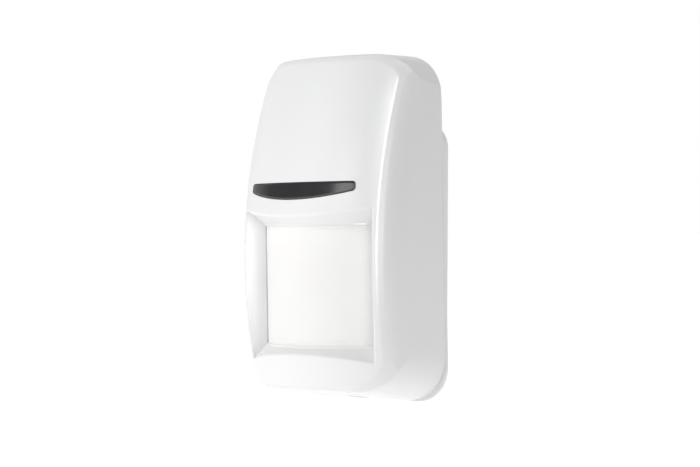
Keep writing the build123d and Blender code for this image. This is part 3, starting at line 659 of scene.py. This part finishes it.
# The crystal's flange, then its can: (extra radius, lift off the board, height, edge rounding).
CRYSTAL_LAYERS = ((0.35, 0.0, 0.4, 0.1), (0.0, 0.3, 3.1, 0.35))
CRYSTAL_TAPER_X = 6
CRYSTAL_TAPER_Z = 12
CRYSTAL_STEPS = 32


def add_crystal():
    """A low metal crystal can standing on its flange."""
    can = Shape()
    x, z = CRYSTAL_CENTRE
    for grow, lift, height, bevel in CRYSTAL_LAYERS:
        radius = CRYSTAL_RADIUS + grow
        front = FACE - height
        loop = []
        for step in range(CRYSTAL_STEPS):
            angle = 2 * math.pi * step / CRYSTAL_STEPS
            end = CRYSTAL_HALF if math.sin(angle) >= 0 else -CRYSTAL_HALF
            loop.append((x + radius * math.cos(angle), z + end + radius * math.sin(angle)))
        can.prism(loop, FACE - lift, front + bevel)
        share_x = 1 - bevel / CRYSTAL_TAPER_X
        share_z = 1 - bevel / CRYSTAL_TAPER_Z
        inner = [(x + (edge_x - x) * share_x, z + (edge_z - z) * share_z) for edge_x, edge_z in loop]
        can.prism(inner, front + bevel, front)
    can.piece("crystal_can", "nickel", "base")


AXIAL_SPOTS = ((-17.4, 17.5), (9.0, 17.6))
AXIAL_LIFT = 1.25
AXIAL_HALF = 2.6
AXIAL_RADIUS = 0.86
AXIAL_END_REACH = 3.0
AXIAL_END_HALF = 0.7
AXIAL_END_RADIUS = 1.07
AXIAL_STEPS = 24
BAND_STARTS = (-1.6, -0.7, 0.2, 1.5)
BAND_WIDTH = 0.4
BAND_RADIUS = 0.885
WIRE_REACH = 5.2
WIRE_SUNK = 0.1
WIRE_RADIUS = 0.27
# The bend of each wire: (distance from the resistor's middle, depth behind its axis).
WIRE_BEND = ((5.2, 0.45), (5.05, 0.12), (4.7, 0.0))
# A cone of solder round a wire: (radius, height above the board).
SOLDER_CONE = ((0, 0.4), (0.34, 0.36), (0.8, 0.05), (0.85, 0.0))


def add_axial_resistors():
    """Two leaded resistors with their bands and bent leads."""
    bodies, leads, bands = Shape(), Shape(), Shape()
    cone = [(radius, FACE - height) for radius, height in SOLDER_CONE]
    for x, z in AXIAL_SPOTS:
        y = FACE - AXIAL_LIFT
        for end in (x - AXIAL_END_REACH, x + AXIAL_END_REACH):
            knob = [(end - AXIAL_END_HALF, y, z), (end + AXIAL_END_HALF, y, z)]
            bodies.tube(knob, AXIAL_END_RADIUS, AXIAL_STEPS)
        bodies.tube([(x - AXIAL_HALF, y, z), (x + AXIAL_HALF, y, z)], AXIAL_RADIUS, AXIAL_STEPS)
        for start in BAND_STARTS:
            band = [(x + start, y, z), (x + start + BAND_WIDTH, y, z)]
            bands.tube(band, BAND_RADIUS, AXIAL_STEPS)
        bend = [(x - WIRE_REACH, FACE + WIRE_SUNK)]
        bend += [(x - reach, y + depth) for reach, depth in WIRE_BEND]
        wire = [(wire_x, wire_y, z) for wire_x, wire_y in bend]
        wire += [(2 * x - wire_x, wire_y, z) for wire_x, wire_y in reversed(bend)]
        leads.tube(wire, WIRE_RADIUS, 12)
        for side in (-WIRE_REACH, WIRE_REACH):
            leads.turned(cone, (x + side, z), 20)
    bodies.piece("resistor_bodies", "ceramic", "base")
    leads.piece("resistor_leads", "tin", "base")
    bands.piece("resistor_bands", "jumper_blue", "base")


TERMINAL_FIRST = -17.5
TERMINAL_PITCH = 5.0
TERMINAL_FOOT = 33.2
TERMINAL_TURN = 31.6
CHIP_ROW_FIRST = 22.6
CHIP_ROW_PITCH = 1.1
CHIP_FOOT = 20.2
LAMP_FOOT = 15.0
LAMP_TURN = 19.3
# Each lamp's x, and the x of the chip pin that drives it.
LAMP_RUNS = ((-6.0, 1.8), (0.0, 2.6), (6.0, 5.0))
JUMPER_PITCH = 2.54
JUMPER_EDGE = 19.2
EDGE_FIRST = 24.6
EDGE_PITCH = 0.75
# Stretches along the board's edges between its screws: (side, highest z, lowest z).
EDGE_RUNS = ((1, 29.0, 7.6), (1, -3.4, -27.4), (-1, 19.0, 7.6), (-1, -3.4, -27.4))
LOWER_FIRST = -17.5
LOWER_PITCH = 1.27
LOWER_END = -7.6


def terminal_traces():
    """Runs down from the eight terminals."""
    paths = []
    for index in range(4):
        x = TERMINAL_FIRST + TERMINAL_PITCH * index
        paths.append([(x, TERMINAL_FOOT), (x, TERMINAL_TURN), (x - 1.2 + 0.4 * index, 30.3)])
    for index, goal in enumerate((2.2, 5.4, 15.0, 21.0)):
        x = TERMINAL_FIRST + TERMINAL_PITCH * (index + 4)
        turn = TERMINAL_TURN - 0.3 * index
        end = 29.9 if index < 2 else 26.8
        paths.append([(x, TERMINAL_FOOT), (x, turn), (goal, turn - abs(goal - x)), (goal, end)])
    return paths


def chip_traces():
    """Runs out of both sides of the large chip, down to the lamps and across to the jumpers."""
    paths = []
    for index in range(5):
        z = CHIP_ROW_FIRST + CHIP_ROW_PITCH * index
        paths.append([(-0.4, z), (-2.0, z), (-2.8, z + 0.8), (-4.8, z + 0.8)])
        paths.append([(9.3, z), (10.4, z), (11.0 + 0.2 * index, z + 0.6), (12.3, z + 0.6)])
    for lamp, pin in LAMP_RUNS:
        turn = LAMP_TURN - abs(pin - lamp)
        paths.append([(pin, CHIP_FOOT), (pin, LAMP_TURN), (lamp, turn), (lamp, LAMP_FOOT)])
    for index in range(3):
        x = 16.0 + 0.9 * index + 1.2
        z = 9.0 + JUMPER_PITCH * index
        across = 19.6 + 0.3 * index
        start = (7.0 - 0.7 * index, CHIP_FOOT)
        paths.append([start, (7.6, across), (x, across), (x, z), (JUMPER_EDGE, z)])
    return paths


def edge_traces():
    """Parallel runs along the board's two long edges, shorter towards the middle."""
    paths = []
    for index in range(4):
        x = EDGE_FIRST - EDGE_PITCH * index
        inset = 1.1 * index
        for side, high, low in EDGE_RUNS:
            paths.append([(side * x, high - inset), (side * x, low + inset)])
    return paths


def lower_traces():
    """Runs above and below the small chip at the board's lower left."""
    paths = []
    for index in range(5):
        x = LOWER_FIRST + LOWER_PITCH * index
        level = -19.6 + 0.3 * index
        paths.append([(x, -23.6), (x, -22.6 + 0.3 * index), (x + 3.0, level), (LOWER_END, level)])
        level = -31.4 - 0.5 * index
        paths.append([(x, -30.4), (x, level), (6.0 + x, level), (8.0 + x, -33.4 - 0.4 * index)])
    return paths


def small_part_traces():
    """Short runs away from both ends of each chip part."""
    paths = []
    for x, z in chip_centres():
        paths.append([(x + 1.3, z), (x + 2.2, z), (x + 2.8, z - 0.6), (x + 2.8, z - 1.7)])
        paths.append([(x - 1.3, z), (x - 2.0, z), (x - 2.0, z + 1.6)])
    return paths


TRACE_WIDTH = 0.32
TRACE_HEIGHT = 0.035
TRACE_SUNK = 0.01
# The plated hole at the end of each run: (radius, height above the board).
VIA_PROFILE = ((0.0, 0.02), (0.16, 0.02), (0.2, 0.06), (0.34, 0.06), (0.36, 0.0))


def add_traces():
    """Copper runs under the solder mask, each ending in a plated hole."""
    copper, vias = Shape(), Shape()
    profile = [(radius, FACE - height) for radius, height in VIA_PROFILE]
    paths = terminal_traces() + chip_traces() + edge_traces() + lower_traces() + small_part_traces()
    for path in paths:
        clean = [path[0]]
        for before, point in zip(path, path[1:]):
            if Vector(point) != Vector(before):
                clean.append(point)
        copper.ribbon(clean, TRACE_WIDTH, FACE + TRACE_SUNK, FACE - TRACE_HEIGHT)
        vias.turned(profile, clean[-1], 16)
    copper.piece("board_traces", "copper_mask", "base", "board_green")
    vias.piece("board_vias", "tin", "base")


INK_WIDTH = 0.16
INK_HEIGHT = 0.05
# The parts with a printed outline, and the gap between part and outline.
INK_GAPS = {
    "alarm_relay": 0.5,
    "microcontroller": 1.6,
    "amplifier_chip": 1.6,
    "trimmer_body": 0.5,
    "tamper_body": 0.5,
    "jumper_base": 0.5,
    "terminal_block": 0.5,
}
SENSOR_RING = 8.2
CAN_RING = 2.85
CAN_RING_INSET = 2.5
CAN_RING_Z = 24.0


def circle_points(x, z, radius, step_degrees):
    """Points round a closed circle, with the last on top of the first."""
    points = []
    for degrees in range(0, 361, step_degrees):
        angle = math.radians(degrees)
        points.append((x + radius * math.cos(angle), z + radius * math.sin(angle)))
    return points


def add_ink():
    """Printed outlines round the larger parts, the sensor can and the two capacitors."""
    ink = Shape()
    front = FACE - INK_HEIGHT
    for node, gap in INK_GAPS.items():
        low, high = box_mm(node)
        corners = [
            (low.x - gap, low.z - gap),
            (high.x + gap, low.z - gap),
            (high.x + gap, high.z + gap),
            (low.x - gap, high.z + gap),
        ]
        for start, end in zip(corners, corners[1:] + corners[:1]):
            if abs(start[1]) < BOARD_HIGH.z and abs(end[1]) < BOARD_HIGH.z:
                ink.ribbon([start, end], INK_WIDTH, FACE, front)
    sensor = centre_mm("pyro_can")
    ink.ribbon(circle_points(sensor.x, sensor.z, SENSOR_RING, 10), INK_WIDTH, FACE, front)
    low, high = box_mm("capacitors")
    for x in (low.x + CAN_RING_INSET, high.x - CAN_RING_INSET):
        ink.ribbon(circle_points(x, CAN_RING_Z, CAN_RING, 15), INK_WIDTH, FACE, front)
    ink.piece("board_ink", "ink", "base")


# A tinned ring round a screw hole: (radius, depth from the board's face).
PAD_PROFILE = ((2.35, -0.05), (3.1, -0.05), (3.12, 0.02), (2.33, 0.02), (2.35, -0.05))
# The height, in metres, that parts the upper screws from the lower ones.
SCREW_SPLIT = -0.01


def screw_centres():
    """The (x, z) centre of each board screw, read from the CAD node's separate solids."""
    groups = {}
    for vert in NODES["board_screws"].data.vertices:
        groups.setdefault((vert.co.x > 0, vert.co.z > SCREW_SPLIT), []).append(vert.co / MM)
    centres = []
    for key in sorted(groups):
        xs = [place.x for place in groups[key]]
        zs = [place.z for place in groups[key]]
        centres.append(((min(xs) + max(xs)) / 2, (min(zs) + max(zs)) / 2))
    return centres


def add_screw_pads():
    """Bare tinned rings round the board's screw holes."""
    rings = Shape()
    profile = [(radius, FACE + depth) for radius, depth in PAD_PROFILE]
    for spot in screw_centres():
        rings.turned(profile, spot, 40)
    rings.piece("screw_pads", "tin", "base")


# ---------------------------------------------------------------- the lens


LENS_RADIUS = 29.0
LENS_SKIN = 0.34
GROOVE_HALF = 0.09
GROOVE_DEPTH = 0.07
GROOVE_REACH = 1.2 * GROOVE_HALF
TOP_LINES = (1.05, 0.55, -0.25)
BOTTOM_LINES = (-36.35, -37.0)
SEGMENT_ROWS = (-0.25, -12.6, -24.4, -36.35)
LENS_COLUMNS = 150
LENS_LEVELS = 44
RIBBED_GAP = 0.01
RIBBED_THICKNESS = 0.2
RIBBED_INSET = 0.2


def curved_sheet(shape, outer, inner, heights, axis_y, half_width, relief=None):
    """A closed curved sheet about a vertical axis; relief(z) is how far its outer face is cut in."""
    limit = math.asin(half_width / outer)
    last = len(heights) - 1
    grids = []
    for base_radius, cut in ((outer, relief), (inner, None)):
        grid = []
        for z in heights:
            radius = base_radius - (cut(z) if cut else 0.0)
            row = []
            for column in range(LENS_COLUMNS + 1):
                angle = limit * (2 * column / LENS_COLUMNS - 1)
                place = (radius * math.sin(angle), axis_y - radius * math.cos(angle), z)
                row.append(shape.mesh.verts.new(place))
            grid.append(row)
        grids.append(grid)
        for low_row, high_row in zip(grid, grid[1:]):
            add_strip(shape, low_row, high_row)
    front, back = grids
    for row in (0, last):
        add_strip(shape, front[row], back[row])
    for column in (0, LENS_COLUMNS):
        add_strip(shape, [row[column] for row in front], [row[column] for row in back])


def add_strip(shape, one, other):
    """Faces between two rows of vertices of the same length."""
    for index in range(len(one) - 1):
        shape.mesh.faces.new((one[index], one[index + 1], other[index + 1], other[index]))


def lens_heights(low, high, lines):
    """Levels for the lens grid, with extra ones at each engraved line."""
    levels = {round(low + (high - low) * step / LENS_LEVELS, 4) for step in range(LENS_LEVELS + 1)}
    for line in lines:
        levels = {level for level in levels if abs(level - line) > 2.2 * GROOVE_HALF}
        levels |= {line - 2 * GROOVE_HALF, line - GROOVE_HALF, line + GROOVE_HALF, line + 2 * GROOVE_HALF}
    return sorted(levels)


def border_cut(z):
    """How deep the lens's outer face is engraved at a height."""
    lines = TOP_LINES + BOTTOM_LINES
    return GROOVE_DEPTH if any(abs(z - line) < GROOVE_REACH for line in lines) else 0.0


def add_lens():
    """The lens sheet: a smooth skin with its border lines, and the ribbed Fresnel face behind it."""
    low, high = box_mm("fresnel_lens")
    axis_y = low.y + LENS_RADIUS
    behind = LENS_RADIUS - LENS_SKIN
    skin = Shape()
    heights = lens_heights(low.z, high.z, TOP_LINES + BOTTOM_LINES)
    curved_sheet(skin, LENS_RADIUS, behind, heights, axis_y, high.x, border_cut)
    skin.piece("lens_skin", "lens_film", "cover", "lens_film", ("fresnel_lens",), 20)
    ribbed = Shape()
    heights = lens_heights(low.z + RIBBED_INSET, high.z - RIBBED_INSET, SEGMENT_ROWS)
    outer = behind - RIBBED_GAP
    curved_sheet(ribbed, outer, outer - RIBBED_THICKNESS, heights, axis_y, high.x - RIBBED_INSET)
    ribbed.piece("lens_ribbed_face", "fresnel_face", "cover", "lens_film", (), 20)


# ---------------------------------------------------------------- the indicator window


PANE_COLUMNS = 90
PANE_ROWS = (0.0, 0.03, 0.07, 0.12, 0.18, 0.3, 0.5, 0.7, 0.82, 0.88, 0.93, 0.97, 1.0)
PANE_BEVEL = 0.5
PANE_BEVEL_DEPTH = 0.4
PANE_BEVEL_CURVE = 1.4
PANE_THICKNESS = 1.5
PANE_END_DROP = 1.5
PANE_END_GAP = 0.02
PROBE_START = 60.0
PROBE_INSET = 0.05


def pane_probe():
    """Functions that read the CAD window: its depth at (x, z), and its lowest and highest z at x."""
    data = NODES["indicator_window"].data
    points = [vert.co / MM for vert in data.vertices]
    tree = BVHTree.FromPolygons(points, [polygon.vertices[:] for polygon in data.polygons])

    def depth(x, z):
        return tree.ray_cast(Vector((x, -PROBE_START, z)), Vector((0, 1, 0)))[0].y

    def reach(x, middle):
        inside = depth(x, middle) + PANE_THICKNESS / 2
        lowest = tree.ray_cast(Vector((x, inside, -PROBE_START)), Vector((0, 0, 1)))[0].z
        highest = tree.ray_cast(Vector((x, inside, PROBE_START)), Vector((0, 0, -1)))[0].z
        return lowest, highest

    return depth, reach


def pane_column(pane, x, lowest, highest, depth):
    """The front and back vertices of the window at one x, with a bevel at the top and bottom."""
    fore, rear = [], []
    for share in PANE_ROWS:
        z = lowest + share * (highest - lowest)
        edge = min(z - lowest, highest - z)
        cut = PANE_BEVEL_DEPTH * max(0.0, 1 - edge / PANE_BEVEL) ** PANE_BEVEL_CURVE
        y = depth(x, min(max(z, lowest + PROBE_INSET), highest - PROBE_INSET))
        fore.append(pane.mesh.verts.new((x, y + cut, z)))
        rear.append(pane.mesh.verts.new((x, y + PANE_THICKNESS, z)))
    return fore, rear


def add_indicator_window():
    """The smoked window: a bowed pane with rounded ends and a bevel along its top and bottom."""
    high = box_mm("indicator_window")[1]
    depth, reach = pane_probe()
    half = high.x - PANE_END_GAP
    front, back = [], []
    pane = Shape()
    for column in range(PANE_COLUMNS + 1):
        x = -half * math.cos(math.pi * column / PANE_COLUMNS)
        lowest, highest = reach(x, high.z - PANE_END_DROP)
        fore, rear = pane_column(pane, x, lowest, highest, depth)
        front.append(fore)
        back.append(rear)
    for grid in (front, back):
        for one, other in zip(grid, grid[1:]):
            add_strip(pane, one, other)
    for row in (0, len(PANE_ROWS) - 1):
        add_strip(pane, [column[row] for column in front], [column[row] for column in back])
    for column in (0, PANE_COLUMNS):
        add_strip(pane, front[column], back[column])
    pane.piece("indicator_pane", "smoked_plastic", "cover", "smoked_plastic", ("indicator_window",))


ALL_SIDES = ((1, 0, 0), (-1, 0, 0), (0, 0, 1), (0, 0, -1))
TOP_AND_BOTTOM = ALL_SIDES[2:]


def add_details():
    """Everything that stands for a plain CAD node or is added to the board."""
    add_chip("microcontroller", 8, 0.8, 0.35, ALL_SIDES)
    add_chip("amplifier_chip", 6, 1.27, 0.42, TOP_AND_BOTTOM)
    add_relay()
    add_capacitors()
    add_small_parts()
    add_crystal()
    add_axial_resistors()
    add_traces()
    add_ink()
    add_screw_pads()
    add_lens()
    add_indicator_window()


add_details()


# ---------------------------------------------------------------- camera, floor and light


CLIP_NEAR = 0.02
CLIP_FAR = 20.0


def add_camera():
    azimuth, elevation = math.radians(CAMERA_AZIMUTH), math.radians(CAMERA_ELEVATION)
    roll = math.radians(CAMERA_ROLL)
    back = Vector(
        (
            math.sin(azimuth) * math.cos(elevation),
            -math.cos(azimuth) * math.cos(elevation),
            math.sin(elevation),
        )
    )
    right = Vector((0, 0, 1)).cross(back).normalized()
    up = back.cross(right)
    rolled_right = right * math.cos(roll) + up * math.sin(roll)
    rolled_up = up * math.cos(roll) - right * math.sin(roll)
    data = bpy.data.cameras.new("camera")
    data.lens = CAMERA_LENS
    data.sensor_width = SENSOR_WIDTH
    data.clip_start = CLIP_NEAR
    data.clip_end = CLIP_FAR
    camera = bpy.data.objects.new("camera", data)
    bpy.context.scene.collection.objects.link(camera)
    place = (Vector(CAMERA_TARGET) + back * CAMERA_DISTANCE) * MM
    rotation = Matrix((rolled_right, rolled_up, back)).transposed()
    camera.matrix_world = Matrix.Translation(place) @ rotation.to_4x4()
    bpy.context.scene.camera = camera


def softbox(name, azimuth, elevation, distance, width, height, power, diffuse=True, glossy=True):
    """A rectangular studio light aimed at the sensor, seen by its shading, its reflections or both."""
    data = bpy.data.lights.new(name, "AREA")
    data.shape = "RECTANGLE"
    data.size = width
    data.size_y = height
    data.energy = power
    lamp = bpy.data.objects.new(name, data)
    bpy.context.scene.collection.objects.link(lamp)
    turn, rise = math.radians(azimuth), math.radians(elevation)
    direction = Vector((math.sin(turn) * math.cos(rise), -math.cos(turn) * math.cos(rise), math.sin(rise)))
    lamp.location = direction * distance
    lamp.rotation_mode = "QUATERNION"
    lamp.rotation_quaternion = direction.to_track_quat("Z", "Y")
    lamp.visible_camera = False
    lamp.visible_diffuse = diffuse
    lamp.visible_glossy = glossy


def add_surroundings():
    """White surroundings: a bright backdrop behind the sensor, and a dimmer room in front of it."""
    world = bpy.data.worlds.new("studio")
    world.use_nodes = True
    bpy.context.scene.world = world
    tree = world.node_tree
    background = tree.nodes["Background"]
    coordinate = tree.nodes.new("ShaderNodeTexCoord")
    away = tree.nodes.new("ShaderNodeVectorMath")
    away.operation = "DOT_PRODUCT"
    azimuth = math.radians(CAMERA_AZIMUTH)
    away.inputs[1].default_value = (-math.sin(azimuth), math.cos(azimuth), 0.0)
    tree.links.new(coordinate.outputs["Generated"], away.inputs[0])
    strength = remap(tree, away.outputs["Value"], ROOM_LIGHT, BACKDROP_LIGHT, BACKDROP_START, 1.0)
    tree.links.new(strength, background.inputs["Strength"])
    background.inputs["Color"].default_value = (1, 1, 1, 1)
    seen = tree.nodes.new("ShaderNodeBackground")
    seen.inputs["Color"].default_value = (1, 1, 1, 1)
    seen.inputs["Strength"].default_value = 1.0
    mix = tree.nodes.new("ShaderNodeMixShader")
    path = tree.nodes.new("ShaderNodeLightPath")
    tree.links.new(path.outputs["Is Camera Ray"], mix.inputs["Fac"])
    tree.links.new(background.outputs["Background"], mix.inputs[1])
    tree.links.new(seen.outputs["Background"], mix.inputs[2])
    tree.links.new(mix.outputs["Shader"], tree.nodes["World Output"].inputs["Surface"])


def add_lights():
    """A key from the front left, a top light, a weak fill, and two strips seen only in reflections."""
    softbox("key", -19, 25, 1.3, 1.0, 1.2, 12.0, glossy=False)
    softbox("top", 130, 58, 1.2, 0.9, 0.7, 4.2)
    softbox("fill", 125, 12, 1.3, 0.8, 0.9, 0.5, glossy=False)
    softbox("crease_strip", 58, 17.5, 0.33, 0.15, 0.31, 1.25, diffuse=False)
    softbox("window_strip", 13, 14, 1.1, 0.34, 0.6, 1.2, diffuse=False)


def add_floor():
    """A pale floor just under the sensor, bright enough to merge with the white surroundings."""
    mesh = bmesh.new()
    bmesh.ops.create_circle(mesh, cap_ends=True, radius=FLOOR_RADIUS, segments=96)
    data = bpy.data.meshes.new("floor")
    mesh.to_mesh(data)
    mesh.free()
    floor = bpy.data.objects.new("floor", data)
    floor.location.z = cad_box[0].z - FLOOR_GAP
    bpy.context.scene.collection.objects.link(floor)
    material, tree, shader, place = principled("pale_floor", FLOOR_GREY, 0.8)
    fine = noise(tree, place, 3.0, 3.0)
    tree.links.new(tint(tree, fine, FLOOR_DARK_GREY, FLOOR_GREY), shader.inputs["Base Color"])
    shader.inputs["Emission Color"].default_value = (1, 1, 1, 1)
    shader.inputs["Emission Strength"].default_value = FLOOR_GLOW
    data.materials.append(material)


add_camera()
add_surroundings()
add_lights()
add_floor()
bpy.context.scene.view_settings.view_transform = "Standard"
